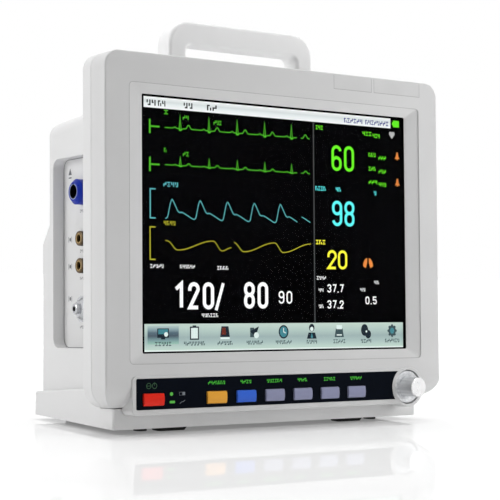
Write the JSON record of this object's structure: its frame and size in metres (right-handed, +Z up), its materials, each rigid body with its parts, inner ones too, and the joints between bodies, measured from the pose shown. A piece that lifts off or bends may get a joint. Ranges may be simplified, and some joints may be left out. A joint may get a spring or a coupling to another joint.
{
  "type": "bedside patient monitor",
  "caption": "Bedside patient monitor: leaning flat screen in a bevelled bezel, key row and rotary selector, side connector recess, strip recorder, battery bay, carrying handle and plinth.",
  "frame": {"origin": "middle of the underside of the overall box, on the plane the feet stand on", "axes": "+Z up, the screen faces -Y, +X to the right of someone facing the screen"},
  "size_m": [0.3168, 0.1602, 0.3133],
  "materials": {
    "case_plastic": "fine moulded texture, light grey",
    "keypad_film": "near-black navy printed film",
    "key_plastic": "fine moulded texture, light grey",
    "window_acrylic": "clear with anti-reflex coating",
    "lcd_black": "display panel, satin glass front",
    "zinc_steel": "zinc plated sheet",
    "silver_plastic": "silver lacquer",
    "lens_clear": "translucent milky lens",
    "board_green": "solder mask",
    "blue_plastic": "moulded blue",
    "gold_metal": "gold flash",
    "chrome_metal": "polished plate",
    "black_plastic": "fine grain",
    "black_rubber": "matt",
    "paper_white": "thermal paper",
    "label_film": "silver grey blank label",
    "brass_metal": "turned brass"
  },
  "bodies": {
    "monitor_body": {"front_bezel": "case_plastic", "screen_window": "window_acrylic", "lcd_glass": "lcd_black", "lcd_frame": "zinc_steel", "chassis_plate": "zinc_steel", "keypad_panel": "keypad_film", "keypad_mat": "black_rubber", "keypad_board": "board_green", "status_lights": "lens_clear", "encoder_body": "black_plastic", "alarm_lens_left": "lens_clear", "alarm_lens_right": "lens_clear", "alarm_led_board": "board_green", "rear_housing": "case_plastic", "case_screws": "zinc_steel", "connector_panel": "case_plastic", "spo2_socket": "blue_plastic", "ecg_socket": "case_plastic", "socket_pins": "gold_metal", "temp_jack_upper": "gold_metal", "temp_jack_lower": "gold_metal", "nibp_coupling": "chrome_metal", "carry_handle": "case_plastic", "plinth": "case_plastic", "plinth_cover": "black_plastic", "mount_inserts": "brass_metal", "front_feet": "black_rubber", "rear_feet": "black_rubber", "recorder_case": "black_plastic", "recorder_hinge_pin": "zinc_steel", "battery_bay": "black_plastic", "battery_pack": "black_plastic", "battery_door_pin": "zinc_steel", "ac_inlet": "black_plastic", "ac_inlet_pins": "chrome_metal", "network_socket": "black_plastic", "ground_stud": "chrome_metal", "rating_plate": "label_film", "board_standoffs": "brass_metal", "main_board": "board_green", "inner_screws": "zinc_steel", "power_supply": "board_green", "nibp_pump": "black_plastic", "speaker": "black_plastic"},
    "key_power": {"key_power": "key_plastic"},
    "key_silence": {"key_silence": "key_plastic"},
    "key_func": {"key_func": "key_plastic"},
    "key_freeze": {"key_freeze": "key_plastic"},
    "key_nibp": {"key_nibp": "key_plastic"},
    "key_print": {"key_print": "key_plastic"},
    "key_menu": {"key_menu": "key_plastic"},
    "encoder_rotor": {"encoder_rotor": "black_plastic"},
    "selector": {"selector_knob": "silver_plastic", "knob_cap": "silver_plastic", "encoder_shaft": "zinc_steel"},
    "battery_door": {"battery_door": "case_plastic"},
    "recorder_door": {"recorder_door": "case_plastic"},
    "recorder_latch": {"recorder_latch": "key_plastic"},
    "platen_roller": {"platen_roller": "black_rubber"},
    "paper_roll": {"paper_roll": "paper_white"}
  },
  "joints": [
    {"name": "key_power_press", "type": "slide", "parent": "monitor_body", "child": "key_power", "axis": [0, 0.9985, -0.0555], "range_m": [0, 0.001], "stiffness_N_per_m": 1200, "springref_m": -0.0005},
    {"name": "key_silence_press", "type": "slide", "parent": "monitor_body", "child": "key_silence", "axis": [0, 0.9985, -0.0555], "range_m": [0, 0.001], "stiffness_N_per_m": 1200, "springref_m": -0.0005},
    {"name": "key_func_press", "type": "slide", "parent": "monitor_body", "child": "key_func", "axis": [0, 0.9985, -0.0555], "range_m": [0, 0.001], "stiffness_N_per_m": 1200, "springref_m": -0.0005},
    {"name": "key_freeze_press", "type": "slide", "parent": "monitor_body", "child": "key_freeze", "axis": [0, 0.9985, -0.0555], "range_m": [0, 0.001], "stiffness_N_per_m": 1200, "springref_m": -0.0005},
    {"name": "key_nibp_press", "type": "slide", "parent": "monitor_body", "child": "key_nibp", "axis": [0, 0.9985, -0.0555], "range_m": [0, 0.001], "stiffness_N_per_m": 1200, "springref_m": -0.0005},
    {"name": "key_print_press", "type": "slide", "parent": "monitor_body", "child": "key_print", "axis": [0, 0.9985, -0.0555], "range_m": [0, 0.001], "stiffness_N_per_m": 1200, "springref_m": -0.0005},
    {"name": "key_menu_press", "type": "slide", "parent": "monitor_body", "child": "key_menu", "axis": [0, 0.9985, -0.0555], "range_m": [0, 0.001], "stiffness_N_per_m": 1200, "springref_m": -0.0005},
    {"name": "selector_turn", "type": "hinge", "parent": "monitor_body", "child": "encoder_rotor", "pos_m": [0.1233, -0.06618, 0.02884], "axis": [0, 0.9985, -0.0555], "continuous": true},
    {"name": "selector_push", "type": "slide", "parent": "encoder_rotor", "child": "selector", "axis": [0, 0.9985, -0.0555], "range_m": [0, 0.0008], "stiffness_N_per_m": 3000, "springref_m": -0.0005},
    {"name": "battery_door_hinge", "type": "hinge", "parent": "monitor_body", "child": "battery_door", "pos_m": [-0.07, 0.06833, 0.03779], "axis": [-1, 0, 0], "range_deg": [0, 90]},
    {"name": "recorder_door_hinge", "type": "hinge", "parent": "monitor_body", "child": "recorder_door", "pos_m": [0.1325, 0.01656, 0.09385], "axis": [0, 0.9985, -0.0555], "range_deg": [0, 80]},
    {"name": "recorder_latch_push", "type": "slide", "parent": "recorder_door", "child": "recorder_latch", "axis": [-1, 0, 0], "range_m": [0, 0.0012], "stiffness_N_per_m": 1500, "springref_m": -0.0006},
    {"name": "paper_roll_turn", "type": "hinge", "parent": "monitor_body", "child": "paper_roll", "pos_m": [0.1025, 0.01732, 0.10763], "axis": [0, 0.9985, -0.0555], "continuous": true},
    {"name": "platen_turn", "type": "hinge", "parent": "recorder_door", "child": "platen_roller", "pos_m": [0.128, 0.02008, 0.15725], "axis": [0, 0.9985, -0.0555], "continuous": true}
  ],
  "couplings": [
    {"joint": "platen_turn", "follows": "paper_roll_turn", "ratio": 4.5}
  ]
}
